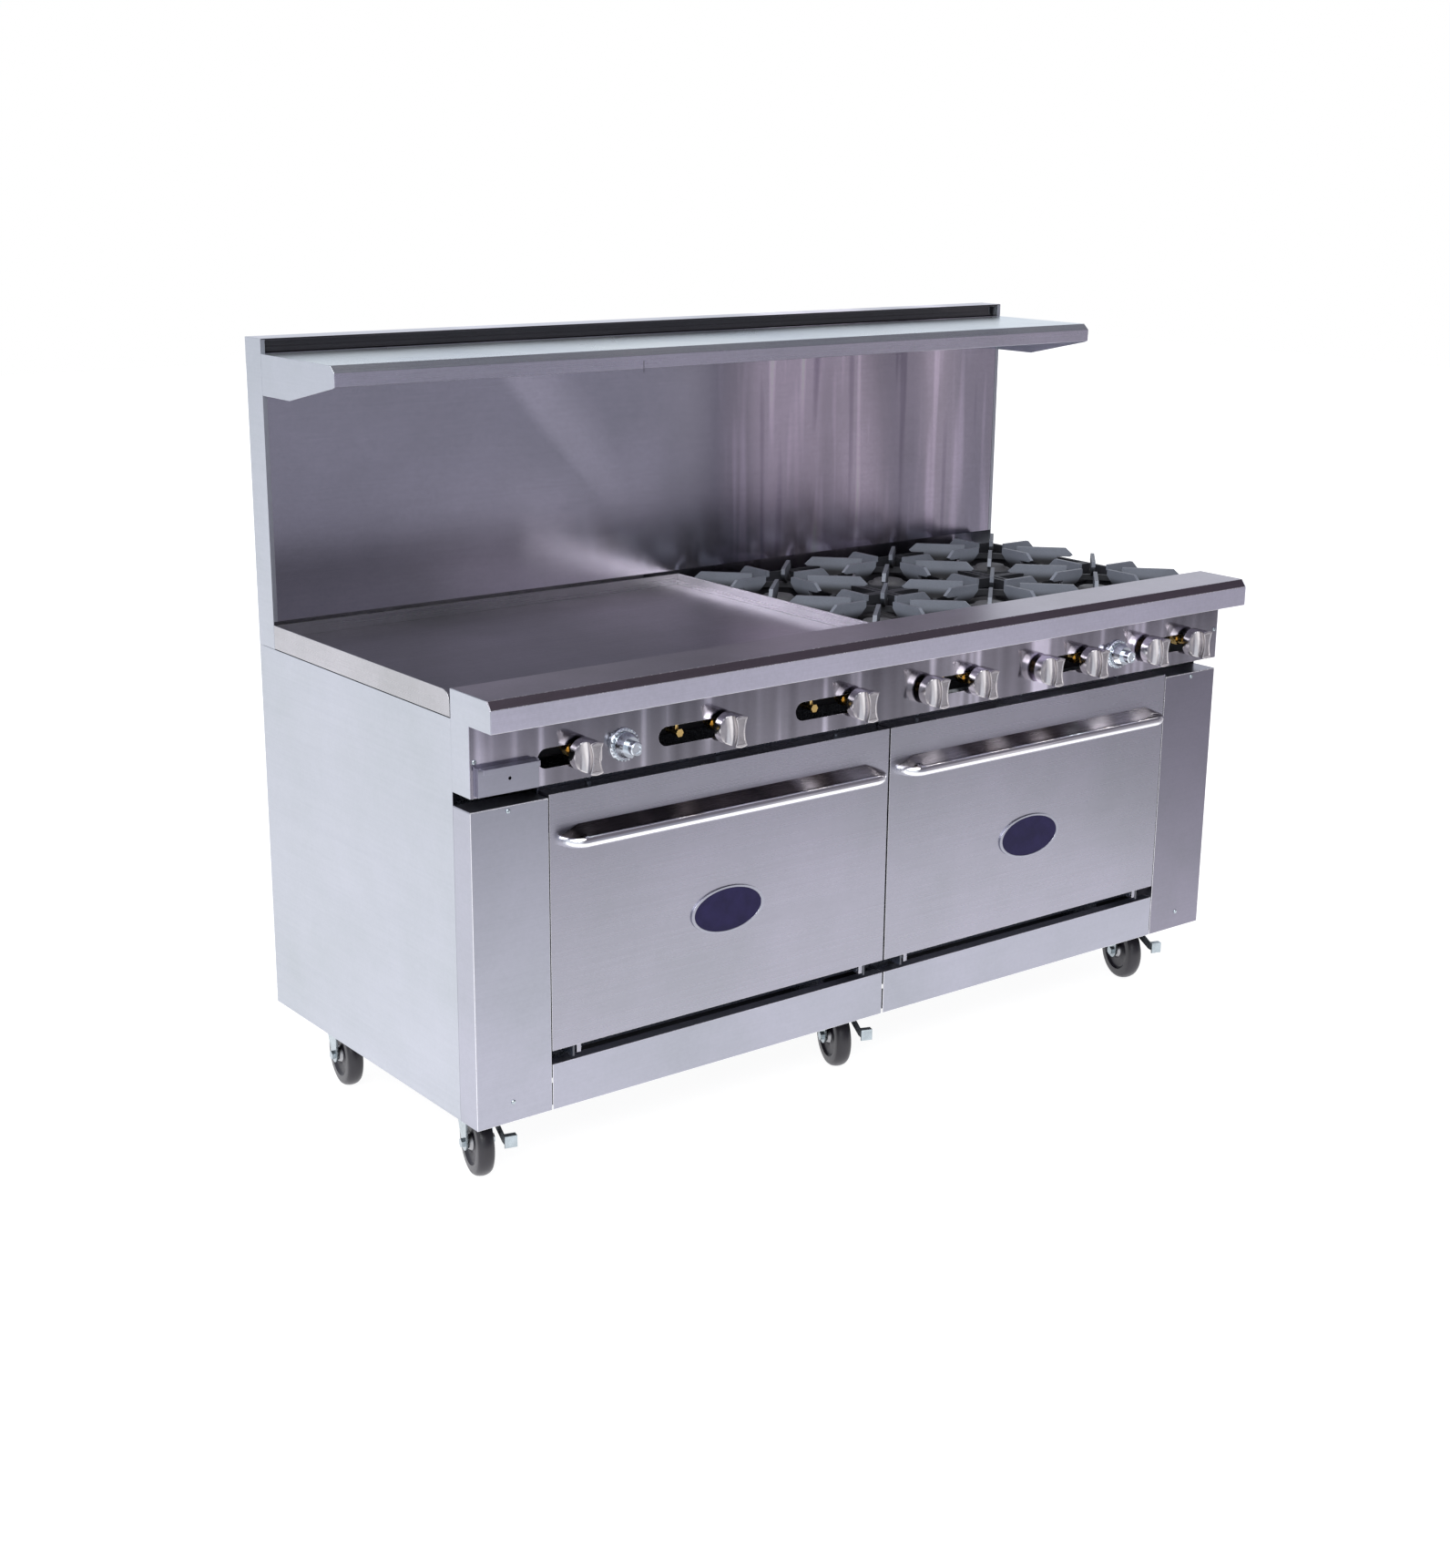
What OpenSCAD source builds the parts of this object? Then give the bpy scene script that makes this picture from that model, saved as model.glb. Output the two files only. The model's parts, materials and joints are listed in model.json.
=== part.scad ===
// Commercial gas range: two ovens below a 36 in griddle and six open burners,
// with a back guard, a high shelf and six swivel casters.
// Front is -Y, +X is to the right, and the origin is on the floor under the middle of the range.
// Inside the modules, y = 0 is the plane of the front panels and y grows to the back.

/* [Overall size] */
// Width over the side panels
width = 1829; // [1800:1:1860]
// Depth from the front of the belly rail to the back
depth = 817; // [805:1:835]
// Height of the back guard above the floor
height = 1429; // [1380:1:1480]
// Height of the working surface at the belly rail
work_h = 914; // [910:1:918]
// Thickness of the sheet metal
sheet = 1.5; // [1.2:0.1:2]

/* [Front] */
// How far the belly rail stands out of the front panels
rail_reach = 68; // [60:1:72]
// Lower edge of the side panels and kick plates
skirt_z = 148; // [146:1:150]
// Lower edge of the oven doors
door_z0 = 258; // [256:1:262]
// Upper edge of the oven doors
door_z1 = 720; // [700:1:722]
// Width of one oven door
door_w = 759; // [740:1:760]
// Height of the knob centres
knob_z = 784; // [782:1:788]
// Diameter of a knob
knob_d = 58; // [50:1:62]

/* [Cooking top] */
// Pitch of the open burners across the range, 12 in
pitch = 304.8; // [300:0.1:305]
// Top of the grates
grate_z = 915; // [905:1:925]
// Griddle surface
griddle_z = 885; // [880:1:890]
// Thickness of the griddle plate
griddle_t = 19; // [12:1:22]

/* [High shelf] */
// Top of the shelf
shelf_z = 1402.5; // [1380:0.5:1410]
// Front edge of the shelf, from the front plane
shelf_front = 413; // [400:1:440]

/* [Casters] */
// Diameter of a wheel
wheel_d = 127; // [120:1:130]
// Width of a wheel's tread
wheel_w = 32; // [28:1:34]
// Distance from the swivel axis back to the axle
trail = 30; // [26:1:32]

/* [Hidden] */
$fn = 64;
half = width / 2;
front_y = -depth / 2 + rail_reach;
back = depth - rail_reach;
door_x = 381.5;
door_depth = 37.5;
door_side = door_w / 2;
frame_y = 38;
hinge_y = 8;
hinge_z = 250;
hinge_r = 4;
run_gap = 0.06;
seam = 0.05;
kick_z = 233;
side_front_z = 715;
panel_z0 = 738;
rail_z0 = 861;
rail_face_z = 900;
rail_back = 56;
side_top_z = 863;
splash_z = 909;
splash_x1 = 8.2;
guard_y = 687.5;
guard_z0 = 915;
base_z = 157;
base_h = 40;
oven_half = 337;
oven_z0 = 262;
oven_z1 = 640;
oven_back = 690;
rack_z = 400;
row_y = [214.5, 529.5];
column_x = [pitch / 2, pitch * 1.5, pitch * 2.5];
grate_x = [column_x[0] + 4.6, column_x[1] + 0.8, column_x[2] - 1];
slot_half = 78;
slot_h = 35;
knob_off = 63.5;
thermo_x = pitch * 2;
pipe_y = 66;
pipe_r = 16.7;
inlet_x = 860;
inlet_r = 13.35;
tray_x0 = -903;
tray_x1 = -785;
tray_z0 = 740;
tray_z1 = 789;
grate_base = 866;
handle_r = 41;
handle_top = 660;
badge_z = 441;
axle_z = wheel_d / 2;
axle_r = 5;
fork_half = 21;
caster_x = [-832, 0, 832, -832, 0, 832];
caster_y = [158, 158, 158, 650, 650, 650];
caster_a = [-14, -19, -16, -9, -14, -11];

steel = [0.66, 0.66, 0.69];
dark_steel = [0.33, 0.33, 0.37];
iron = [0.16, 0.17, 0.20];
brass = [0.78, 0.58, 0.27];
zinc = [0.70, 0.76, 0.78];
cast_metal = [0.72, 0.70, 0.70];
black = [0.09, 0.09, 0.10];

// ---- helpers ----
// Moves the front plane to its place in the frame.
module placed() translate([0, front_y, 0]) children();
// A box between pairs of limits.
module block(x, y, z) {
    translate([x[0], y[0], z[0]]) cube([x[1] - x[0], y[1] - y[0], z[1] - z[0]]);
}
// An outline in (y, z), extruded along X.
module along_x(x0, x1, points) {
    translate([x0, 0, 0]) rotate([90, 0, 90]) linear_extrude(x1 - x0) polygon(points);
}
module rod_x(x0, x1, y, z, r) translate([x0, y, z]) rotate([0, 90, 0]) cylinder(h = x1 - x0, r = r);
module rod_y(x, y0, y1, z, r) translate([x, y0, z]) rotate([-90, 0, 0]) cylinder(h = y1 - y0, r = r);
module rod_z(x, y, z0, z1, r) translate([x, y, z0]) cylinder(h = z1 - z0, r = r);
// Both hands of something drawn on the right.
module both_sides() {
    children();
    mirror([1, 0, 0]) children();
}
// Points of an arc in the plane of an outline.
function arc(cx, cy, r, a0, a1, n = 8) =
    [for (i = [0:n]) [cx + r * cos(a0 + (a1 - a0) * i / n), cy + r * sin(a0 + (a1 - a0) * i / n)]];

// ---- screws, and the holes they sit in ----
screw_r = 2.2;
panel_screws = [[-905, 799.5], [905, 799.5]];
side_screws = [[-842, 706], [842, 706], [-842, 184], [842, 184]];
header_screws = [for (s = [-1, 1]) for (k = [-277, 0, 277]) [s * 378.5 + k, 726]];
module screw_holes(places, y) for (p = places) rod_y(p[0], y - 1, y + sheet + 1, p[1], screw_r + 0.15);
module screw(x, y, z) {
    translate([x, y, z]) rotate([90, 0, 0]) rotate_extrude() {
        polygon(concat([[0, -7], [screw_r, -7], [screw_r, 0], [4.4, 0]], arc(1.9, 0, 2.5, 0, 90), [[0, 2.5]]));
    }
}
module screws() color(cast_metal) placed() {
    for (p = concat(panel_screws, side_screws)) screw(p[0], 0, p[1]);
    for (p = header_screws) screw(p[0], frame_y, p[1]);
    // Hexagon bolt heads over the caster plates.
    for (i = [0:5]) for (sx = [-36, 36]) for (sy = [-36, 36])
        rod_z(caster_x[i] + sx, caster_y[i] + sy, base_z + 4 + seam, base_z + 10, 7, $fn = 6);
}

// ---- body ----
// Each frame is made of flat strips with a hairline seam between them, as spot-welded sheet is.
module base_frame() color(dark_steel) placed() {
    leg = 3;
    side_x = half - 6;
    rear_y = back - 8 - leg;
    rear_strip = back - 48;
    plate_y = [[100, 216], [584, 700]];
    difference() {
        block([-half + 3, half - 3], [sheet, sheet + leg], [base_z, base_z + base_h]);
        for (p = side_screws) rod_y(p[0], 0, 8, p[1], screw_r + 0.15);
    }
    block([-half + 3, half - 3], [rear_y, rear_y + leg], [base_z, base_z + base_h]);
    both_sides() block([side_x, half - 3], [sheet + leg + seam, rear_y - seam], [base_z, base_z + base_h]);
    block([-side_x + seam, side_x - seam], [sheet + leg + seam, 43], [base_z, base_z + leg]);
    block([-side_x + seam, side_x - seam], [rear_strip, rear_y - seam], [base_z, base_z + leg]);
    for (y = plate_y) block([-side_x + seam, side_x - seam], y, [base_z, base_z + 4]);
    both_sides() block([half - 43, side_x - seam], [43 + seam, plate_y[0][0] - seam], [base_z, base_z + leg]);
    both_sides()
        block([half - 43, side_x - seam], [plate_y[0][1] + seam, plate_y[1][0] - seam], [base_z, base_z + leg]);
    for (i = [0:5])
        block([caster_x[i] - 48, caster_x[i] + 48], [caster_y[i] - 48, caster_y[i] + 48],
            [base_z - 5, base_z - seam]);
}

module side_panels() color(steel) placed() both_sides() union() {
    block([half - sheet, half], [rail_back, back], [skirt_z, side_top_z]);
    block([half - 34, half - sheet], [rail_back, rail_back + sheet], [base_z + base_h + 1, side_front_z - 5]);
}

module back_panel() color(steel) placed() difference() {
    block([-half + sheet + 0.2, half - sheet - 0.2], [back - 6, back - 6 + sheet], [base_z + 2, side_top_z - 2]);
    rod_y(inlet_x, back - 10, back + 5, knob_z, 32);
}

module lower_front_panels() color(steel) placed() {
    in_x = 763;
    fold = sheet + seam;
    both_sides() {
        difference() {
            block([in_x, half], [0, sheet], [skirt_z, side_front_z]);
            for (p = side_screws) rod_y(abs(p[0]), -1, 6, p[1], screw_r + 0.15);
        }
        block([half - sheet, half], [fold, rail_back - 0.6], [skirt_z, side_front_z]);
        block([in_x + fold, half - fold], [fold, rail_back - 0.6], [side_front_z - sheet, side_front_z]);
        block([in_x, in_x + sheet], [fold, frame_y + 20], [base_z + base_h + 1, side_front_z]);
    }
    for (s = [-1, 1]) translate([s * door_x, 0, 0]) {
        block([-door_side, door_side], [0, sheet], [skirt_z, kick_z]);
        block([-door_side, door_side], [fold, 24], [kick_z - sheet, kick_z]);
    }
}

// A slot with round ends, cut from exact shapes.
module round_slot(x0, x1) {
    block([x0 + slot_h / 2, x1 - slot_h / 2], [-2, 4], [knob_z - slot_h / 2, knob_z + slot_h / 2]);
    rod_y(x0 + slot_h / 2, -2, 4, knob_z, slot_h / 2);
    rod_y(x1 - slot_h / 2, -2, 4, knob_z, slot_h / 2);
}
module manifold_panel() color(steel) placed() difference() {
    union() {
        block([-half + sheet, half - sheet], [0, sheet], [panel_z0, rail_z0]);
        block([tray_x1 + 6, half - sheet], [0, 24], [panel_z0, panel_z0 + sheet]);
    }
    block([tray_x0 + 4, tray_x1 - 4], [-2, 30], [panel_z0 - 1, tray_z1 - 3]);
    round_slot(tray_x1 + 2, -column_x[2] + slot_half);
    for (x = [-column_x[1], -column_x[0], column_x[0], column_x[1], column_x[2]])
        round_slot(x - slot_half, x + slot_half);
    for (s = [-1, 1]) rod_y(s * thermo_x, -2, 4, knob_z, 16);
    screw_holes(panel_screws, 0);
}

module belly_rail() color(steel) placed() {
    chamfer_y = 11;
    bend_y = -rail_reach + chamfer_y;
    cap = sheet + seam;
    x1 = half - cap;
    // Front sheet with its sloping upper edge.
    along_x(-x1, x1, [
        [-rail_reach, rail_z0], [-rail_reach, rail_face_z], [bend_y, work_h],
        [bend_y, work_h - 1.9], [-rail_reach + sheet, rail_face_z - 0.5], [-rail_reach + sheet, rail_z0]
    ]);
    block([-x1, x1], [bend_y + seam, rail_back], [work_h - sheet, work_h]);
    block([-x1, x1], [-rail_reach + cap, -1], [rail_z0, rail_z0 + sheet]);
    // Closed ends, which run down beside the knob panel.
    for (x = [-half, half - sheet]) {
        along_x(x, x + sheet, [
            [-rail_reach, rail_z0], [-rail_reach, rail_face_z], [bend_y, work_h],
            [rail_back, work_h], [rail_back, rail_z0]
        ]);
        block([x, x + sheet], [0, rail_back], [panel_z0, rail_z0 - seam]);
    }
}

// A flat riser duct, open below: the flue gases leave through it.
module back_guard() color(dark_steel) placed() {
    lip = 9;
    z0 = side_top_z + 0.5;
    in_x = half - sheet - seam;
    cap_z = height - sheet;
    panel_x = half - lip;
    both_sides() {
        block([half - sheet, half], [guard_y, back], [z0, height]);
        block([panel_x + seam, in_x], [guard_y, guard_y + 2], [guard_z0, cap_z - seam]);
    }
    block([-in_x, in_x], [back - sheet, back], [z0, cap_z - seam]);
    block([-in_x, in_x], [guard_y, back], [cap_z, height]);
    block([-panel_x, panel_x], [guard_y + 0.5, guard_y + 2], [guard_z0, shelf_z + 1]);
    // Dark strip, set back above the shelf.
    block([-in_x, in_x], [guard_y + 14, guard_y + 15.5], [shelf_z - 8, cap_z - seam]);
    block([-panel_x, panel_x], [guard_y, guard_y + sheet], [cap_z - 2.5, cap_z - seam]);
}

module high_shelf() color(steel) placed() {
    lip_z = shelf_z - 12;
    face_z = shelf_z - 36;
    inner = half - 2;
    top = [[shelf_front, lip_z], [shelf_front + 13.5, shelf_z], [guard_y - 0.2, shelf_z]];
    under = [
        [guard_y - 0.2, shelf_z - sheet], [shelf_front + 14, shelf_z - sheet],
        [shelf_front + sheet, lip_z - 0.5], [shelf_front + sheet, face_z + sheet],
        [shelf_front + 12, face_z + sheet], [shelf_front + 12, face_z], [shelf_front, face_z]
    ];
    union() {
        along_x(-inner, inner, concat(top, under));
        for (x = [-half, half - 2]) along_x(x, x + 2, [
            [shelf_front, face_z], [shelf_front, lip_z], [shelf_front + 13.5, shelf_z],
            [guard_y - 0.2, shelf_z], [guard_y - 0.2, shelf_z - 74], [583, shelf_z - 74], [421, face_z - 3]
        ]);
    }
}

// ---- cooking top ----
module griddle_plate() color(dark_steel) placed()
    block([-half + 3.4, 4.8], [rail_back + 3, 682], [griddle_z - griddle_t, griddle_z]);

module griddle_splash() color(steel) placed() {
    wall = [[guard_y - 0.3, griddle_z - griddle_t], [guard_y - 0.3, splash_z]];
    nose = arc(rail_back + 24, splash_z - 22, 22, 90, 180);
    union() {
        along_x(-half, -half + 3.2, concat(
            [[guard_y - 0.3, side_top_z + 1.5]], [wall[1]], nose, [[rail_back + 2, side_top_z + 1.5]]));
        along_x(5, splash_x1, concat(wall, nose, [[rail_back + 2, griddle_z - griddle_t]]));
        block([-half, splash_x1], [682.2, guard_y - 0.3], [griddle_z - griddle_t, splash_z]);
    }
    // Grease trough below the rail, falling to the drawer.
    difference() {
        block([-half + 4, 4.8], [14, rail_back + 2], [griddle_z - griddle_t, 896]);
        block([-half + 6, 3], [16, rail_back + 3], [griddle_z - griddle_t + 2, 900]);
        rod_z((tray_x0 + tray_x1) / 2, 36, 860, 870, 15);
    }
}

module top_frame() color(dark_steel) placed() {
    top_frame_walls();
    drip_tray();
}
// Walls and ledges that carry the griddle and the grates.
module top_frame_walls() {
    z0 = 806;
    ledge_z = grate_base - 10;
    y0 = rail_back + 2;
    y1 = guard_y - 0.5;
    ledge = 11;
    x0 = -half + 3.5;
    x1 = half - 3.5;
    in_y = [y0 + ledge + seam, y1 - ledge - seam];
    rails = [3 + ledge, 307.5, 609.5, x1 - ledge];
    for (y = [y0, y1 - 2]) block([x0, x1], [y, y + 2], [z0, grate_base]);
    block([x0, x1], [y0 + 2 + seam, y0 + ledge], [ledge_z, grate_base]);
    block([x0, x1], [y1 - ledge, y1 - 2 - seam], [ledge_z, grate_base]);
    for (x = [x0, 3, x1 - 2]) block([x, x + 2], [y0 + 2 + seam, y1 - 2 - seam], [z0, ledge_z - seam]);
    for (x = [x0, 3, x1 - ledge]) block([x, x + ledge], in_y, [ledge_z, grate_base]);
    for (x = [rails[1], rails[2]]) block([x - 6, x + 6], in_y, [z0 + 40, grate_base]);
    for (x = [-600, -300]) block([x - 4, x + 4], in_y, [z0 + 30, grate_base]);
    // Cross rail between the two rows of grates, in three lengths.
    block([rails[0] + seam, rails[1] - 6 - seam], [366, 378], [z0 + 40, grate_base]);
    block([rails[1] + 6 + seam, rails[2] - 6 - seam], [366, 378], [z0 + 40, grate_base]);
    block([rails[2] + 6 + seam, rails[3] - seam], [366, 378], [z0 + 40, grate_base]);
}

module drip_tray() {
    x = [20, 815];
    y = [90, 690];
    z = [744, 760];
    block(x, y, [z[0], z[0] + sheet]);
    for (x0 = [x[0], x[1] - sheet]) block([x0, x0 + sheet], y, [z[0] + sheet + seam, z[1]]);
    for (y0 = [y[0], y[1] - sheet])
        block([x[0] + sheet + seam, x[1] - sheet - seam], [y0, y0 + sheet], [z[0] + sheet + seam, z[1]]);
}

module open_burner(x, y, side) {
    tube_x = x + side * knob_off;
    union() {
        rod_y(tube_x, 96, y + 10, 800, 14);
        rod_x(min(x, tube_x) - 1, max(x, tube_x) + 1, y, 800, 14);
        rod_z(x, y, 790, 840, 16);
        translate([x, y, 838]) rotate_extrude() polygon([
            [0, 0], [18, 0], [44, 14], [44, 26], [36, 28], [30, 34], [12, 36], [0, 36]
        ]);
    }
}
module open_burners() color(iron) placed() {
    for (x = column_x) {
        open_burner(x, row_y[0], 1);
        open_burner(x, row_y[1], -1);
    }
}

module enclosed_burners() color(dark_steel) placed() {
    // One U-shaped tube under each third of the griddle.
    for (x = column_x) union() {
        for (s = [-1, 1]) rod_y(-x + s * 60, 150, 640, 832, 13);
        rod_x(-x - 60, -x + 60, 150, 832, 13);
        rod_x(-x - 60, -x + 60, 640, 832, 13);
        rod_y(-x + knob_off, 96, 160, 826, 13);
    }
    // One straight tube under the floor of each oven.
    for (s = [-1, 1]) union() {
        rod_y(s * door_x, 110, 640, 228, 18);
        rod_y(s * door_x, 80, 112, 228, 12);
    }
}

module gas_manifold() color(dark_steel) placed() {
    union() {
        rod_x(-770, inlet_x, pipe_y, knob_z, pipe_r);
        rod_y(inlet_x, pipe_y, back - 30, knob_z, pipe_r);
        rod_y(inlet_x, back - 31, back, knob_z, inlet_r);
        translate([inlet_x, pipe_y, knob_z]) sphere(r = pipe_r + 1);
    }
}

valve_x = concat(
    [for (i = [2:-1:0]) -column_x[i] + knob_off],
    [for (x = column_x) for (s = [-1, 1]) x + s * knob_off]
);
stem_r = 4;
module gas_valve(x) union() {
    rod_y(x, 10, pipe_y - pipe_r - 0.2, knob_z, 9);
    rod_y(x, 24, 40, knob_z, 13, $fn = 6);
    rod_y(x, -30, 12, knob_z, stem_r);
}
module pilot_valve(x) union() {
    rod_y(x, 18, pipe_y - pipe_r - 0.2, knob_z - 3, 6);
    rod_y(x, 14, 20, knob_z - 3, 8, $fn = 6);
    rod_z(x, 26, knob_z - 3, knob_z + 14, 4);
}
module gas_valves() color(brass) placed() {
    for (x = valve_x) gas_valve(x);
    for (x = column_x) pilot_valve(x);
    for (x = [column_x[0], column_x[1]]) pilot_valve(-x - 22);
}

// ---- ovens ----
module oven_shell() {
    outer = oven_half + sheet;
    y0 = frame_y + sheet + seam;
    y1 = oven_back + sheet;
    z0 = kick_z + 1;
    z1 = panel_z0 - 2;
    // Front frame round the mouth.
    for (s = [-1, 1]) translate([s * (oven_half + door_side) / 2, 0, 0])
        block([-(door_side - oven_half) / 2, (door_side - oven_half) / 2], [frame_y, frame_y + sheet], [z0, z1]);
    block([-oven_half + seam, oven_half - seam], [frame_y, frame_y + sheet], [z0, oven_z0]);
    difference() {
        block([-oven_half + seam, oven_half - seam], [frame_y, frame_y + sheet], [oven_z1, z1]);
        for (k = [-277, 0, 277]) for (d = [-3, 3])
            rod_y(k + d, frame_y - 1, frame_y + 3, 726, screw_r + 0.15);
    }
    // Floor, roof, sides and back.
    block([-outer, outer], [y0, y1], [oven_z0 - sheet, oven_z0]);
    block([-outer, outer], [y0, y1], [oven_z1, oven_z1 + sheet]);
    for (x = [-outer, oven_half]) block([x, x + sheet], [y0, y1], [oven_z0 + seam, oven_z1 - seam]);
    block([-oven_half + seam, oven_half - seam], [oven_back, y1], [oven_z0 + seam, oven_z1 - seam]);
    for (x = [-300, 297]) block([x, x + 3], [80, 670], [base_z + 4, oven_z0 - sheet - seam]);
    // Ledges that carry the racks.
    for (x = [-oven_half + seam, oven_half - 10 - seam]) for (z = [rack_z, rack_z + 110])
        block([x, x + 10], [70, 660], [z - 3, z]);
    // Hinge brackets with their pins.
    for (s = [-1, 1]) union() {
        block([s * 334 - 2, s * 334 + 2], [3, frame_y - seam], [kick_z + 4, 256]);
        rod_x(min(s * 316, s * 334), max(s * 316, s * 334), hinge_y, hinge_z, hinge_r);
    }
}
module oven_shells() color(dark_steel) placed() {
    for (s = [-1, 1]) translate([s * door_x, 0, 0]) oven_shell();
}

module oven_rack(z) {
    reach = oven_half - 3;
    union() {
        for (y = [72, 650]) rod_x(-reach, reach, y, z + 4, 3.5, $fn = 24);
        for (x = [-reach + 4, 0, reach - 4]) rod_y(x, 72, 650, z + 4, 3.5, $fn = 24);
        for (i = [1:14]) rod_y(-reach + 4 + i * (reach - 4) * 2 / 15, 72, 650, z + 4, 2, $fn = 16);
    }
}
module oven_racks() color(zinc) placed() {
    for (s = [-1, 1]) translate([s * door_x, 0, 0]) oven_rack(rack_z + 0.1);
}

// ---- doors ----
module door_skin() union() {
    difference() {
        block([-door_side, door_side], [0, door_depth - sheet], [door_z0, door_z1]);
        block([-door_side + sheet, door_side - sheet], [sheet, door_depth], [door_z0 + sheet, door_z1 - sheet]);
    }
    for (s = [-1, 1]) difference() {
        block([s * 324 - 4, s * 324 + 4], [hinge_y - 7, hinge_y + 9], [hinge_z - 7, door_z0 + 1]);
        rod_x(s * 324 - 5, s * 324 + 5, hinge_y, hinge_z, hinge_r + run_gap);
    }
}
module door_liner() {
    block([-door_side, door_side], [door_depth - sheet, door_depth], [door_z0, door_z1]);
    // Stiffening ribs on its inner side.
    for (x = [-300, 0, 300])
        block([x - 8, x + 8], [sheet + 6, door_depth - sheet - seam], [door_z0 + 30, door_z1 - 70]);
}
// Section of the pull, from the door out to its rolled lip.
lip_r = 10.5;
lip_drop = 24;
pull_section = concat(
    [[0, handle_top - 3], [0, handle_top]],
    arc(handle_r - lip_r, handle_top - lip_drop, lip_r, 70, -90),
    [[handle_r - lip_r - 6, handle_top - lip_drop - lip_r], [handle_r - lip_r - 6, handle_top - lip_drop - lip_r + 2]],
    arc(handle_r - lip_r, handle_top - lip_drop, lip_r - 2, -90, 70)
);
module door_handle() union() {
    span = 321.5;
    rotate([90, 0, 90]) translate([0, 0, -span]) linear_extrude(2 * span)
        polygon([for (p = pull_section) [-p[0], p[1]]]);
    translate([span, 0, 0]) rotate([0, 0, -90]) rotate_extrude(angle = 90) polygon(pull_section);
    translate([-span, 0, 0]) rotate([0, 0, 180]) rotate_extrude(angle = 90) polygon(pull_section);
}
module door_badge() {
    translate([0, 0, badge_z]) rotate([90, 0, 0]) difference() {
        linear_extrude(3) scale([1, 0.53]) circle(r = 82.5);
        translate([0, 0, 2]) linear_extrude(2) scale([1, 0.53]) circle(r = 76);
    }
}
module door_piece(side) placed() translate([side * door_x, 0, 0]) children();

// ---- knobs and thermostats ----
module knob_body() {
    r = knob_d / 2;
    gap = 8;
    deep = 44;
    waist = 6;
    scoop = 14.6;
    difference() {
        translate([0, 0, gap]) rotate_extrude() polygon([
            [0, 0], [r - 1.5, 0], [r, 1.5], [r, deep - 2], [r - 1.5, deep], [0, deep]
        ]);
        // A scoop on each side leaves an upright grip bar, narrow at its waist and wider at the front.
        for (s = [-1, 1]) translate([s * (waist + scoop), r + 1, gap + deep - 10]) rotate([90, 0, 0])
            cylinder(h = 2 * r + 2, r = scoop);
        translate([0, 0, gap - 1]) cylinder(h = 25, r = stem_r + run_gap);
        translate([0, 0, gap - 1]) cylinder(h = 9, r = r - 5);
    }
}
module knob(i) color(cast_metal) placed() translate([valve_x[i - 1], 0, knob_z]) rotate([90, 0, 0]) knob_body();

module thermostat_bezels() color(zinc) placed() for (s = [-1, 1]) translate([s * thermo_x, 0, knob_z]) {
    rotate([90, 0, 0]) union() {
        rotate_extrude() polygon([[12, 0], [29.5, 0], [29.5, 2.5], [26.5, 5], [12, 5]]);
        for (a = [0:15:345]) rotate([0, 0, a]) translate([25.2, -1.6, 4]) cube([3.6, 3.2, 3]);
    }
    // Body of the thermostat behind the panel.
    difference() {
        block([-28, 28], [3, 44], [-24, 24]);
        rod_y(0, 0, 14, 0, 7 + run_gap);
    }
}
module thermostat_stem(side) color(zinc) placed() translate([side * thermo_x, 0, knob_z]) rotate([90, 0, 0]) {
    difference() {
        rotate_extrude() polygon([
            [0, -8], [7, -8], [7, 5.6], [23.5, 5.6], [23.5, 12], [18, 24], [12.5, 24], [12.5, 40], [11, 42],
            [7, 42], [6, 40], [0, 40]
        ]);
        translate([9, -13, 26]) cube([8, 26, 20]);
    }
}

// ---- grease drawer ----
module grease_drawer() color(steel) placed() union() {
    x0 = tray_x0 + 6;
    x1 = tray_x1 - 6;
    difference() {
        block([x0, x1], [-1, 300], [tray_z0 + 3, tray_z1 - 8]);
        block([x0 + sheet, x1 - sheet], [sheet, 300 - sheet], [tray_z0 + 3 + sheet, tray_z1]);
    }
    difference() {
        block([tray_x0, tray_x1], [-8, -0.5], [tray_z0, tray_z1]);
        block([tray_x0 + sheet, tray_x1 - sheet], [-8 + sheet, 0], [tray_z0 + sheet, tray_z1 - sheet]);
        rod_y(-842, -10, -4, 764.6, 3);
    }
    // Pull lip, folded forward and down.
    block([tray_x0 + 4, tray_x1 - 5], [-20, -8], [tray_z1 - sheet, tray_z1]);
    block([tray_x0 + 4, tray_x1 - 5], [-20, -20 + sheet], [tray_z1 - 9, tray_z1]);
}

// ---- grates ----
vane_t = 8;
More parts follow.
